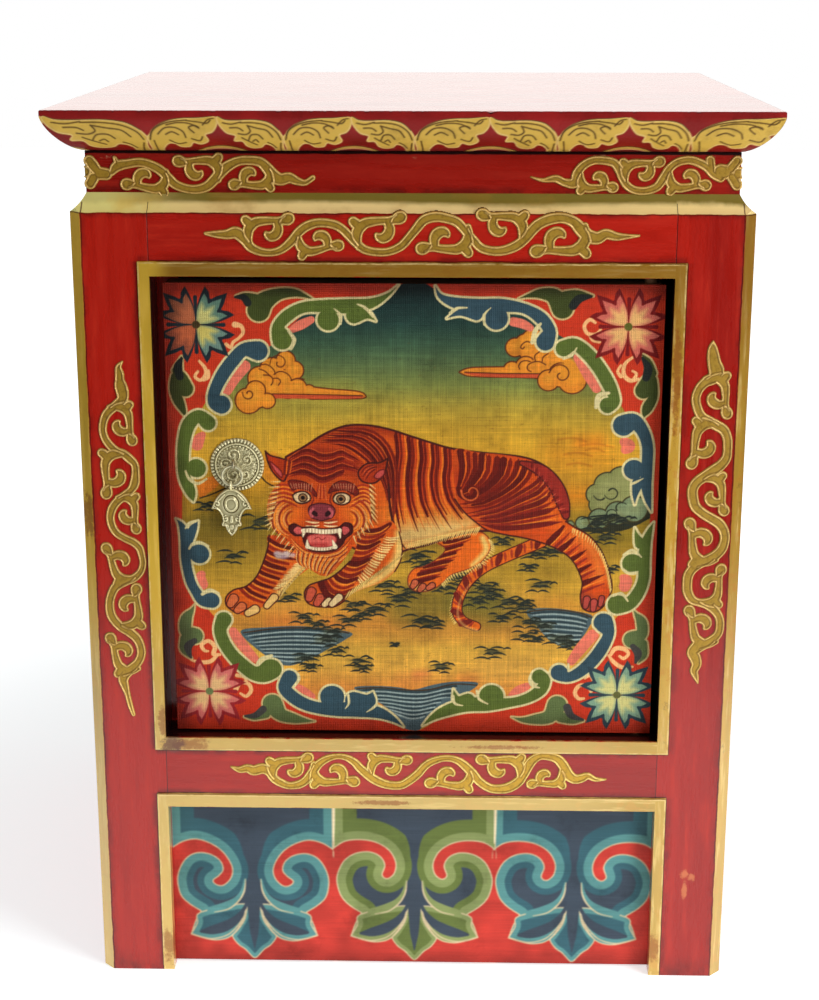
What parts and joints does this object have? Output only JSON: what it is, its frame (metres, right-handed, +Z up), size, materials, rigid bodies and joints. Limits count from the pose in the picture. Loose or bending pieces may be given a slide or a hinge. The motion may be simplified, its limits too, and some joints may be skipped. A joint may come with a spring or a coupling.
{
  "type": "painted wooden cabinet",
  "caption": "Low red lacquered cabinet on legs, with a moulded top on a set-back waist, a painted door on pivots, a painted apron below and gilt scrolls.",
  "frame": {"origin": "on the floor, in the middle of the plan", "axes": "+Z up, -Y out of the door's face, +X to the right seen from the front"},
  "size_m": [0.462, 0.44, 0.6],
  "materials": {
    "red_lacquer": "satin red lacquer over wood, brushed on, with gilt beads, chamfers and hollow",
    "gilt": "gold paint over raised gesso, worn to orange and red on the arrises",
    "painted_canvas": "paint on gesso over a glued canvas, thin varnish",
    "painted_apron": "matt paint over wood, thin varnish",
    "inner_wood": "bare softwood",
    "pale_brass": "pale stamped brass, dirt in the hollows",
    "iron": "dull wrought wire"
  },
  "bodies": {
    "cabinet": {"apron_front": "painted_apron", "apron_left": "red_lacquer", "apron_right": "red_lacquer", "back_board_1": "red_lacquer", "back_board_2": "red_lacquer", "back_board_3": "red_lacquer", "bottom_rail_back": "red_lacquer", "bottom_rail_front": "red_lacquer", "bottom_rail_left": "red_lacquer", "bottom_rail_right": "red_lacquer", "door_stop": "red_lacquer", "floor_board_1": "inner_wood", "floor_board_2": "inner_wood", "floor_board_3": "inner_wood", "floor_cleat_left": "inner_wood", "floor_cleat_right": "inner_wood", "leg_back_left": "red_lacquer", "leg_back_right": "red_lacquer", "leg_front_left": "red_lacquer", "leg_front_right": "red_lacquer", "side_panel_left": "red_lacquer", "side_panel_right": "red_lacquer", "top_board_back": "red_lacquer", "top_board_front": "red_lacquer", "top_board_middle": "red_lacquer", "top_rail_back": "red_lacquer", "top_rail_front": "red_lacquer", "top_rail_left": "red_lacquer", "top_rail_right": "red_lacquer", "waist_back": "red_lacquer", "waist_front": "red_lacquer", "waist_left": "red_lacquer", "waist_right": "red_lacquer"},
    "door": {"door_board_1": "red_lacquer", "door_board_2": "red_lacquer", "door_board_3": "red_lacquer", "door_canvas": "painted_canvas", "door_batten_upper": "inner_wood", "door_batten_lower": "inner_wood", "door_pivot_upper": "iron", "door_pivot_lower": "iron", "pull_backplate": "pale_brass", "pull_staple": "iron"},
    "pull_ring": {"pull_ring": "pale_brass"},
    "pull_drop": {"pull_drop": "pale_brass"}
  },
  "joints": [
    {"name": "door_swing", "type": "hinge", "parent": "cabinet", "child": "door", "pos_m": [0.15447, -0.1874, 0.33415], "axis": [0, 0, 1], "range_deg": [0, 97]},
    {"name": "ring_swing", "type": "hinge", "parent": "door", "child": "pull_ring", "pos_m": [-0.1185, -0.2026, 0.3686], "axis": [-1, 0, 0], "range_deg": [0, 110]},
    {"name": "drop_swing", "type": "hinge", "parent": "pull_ring", "child": "pull_drop", "pos_m": [-0.1195, -0.2026, 0.3554], "axis": [-1, 0, 0], "range_deg": [0, 70]}
  ]
}
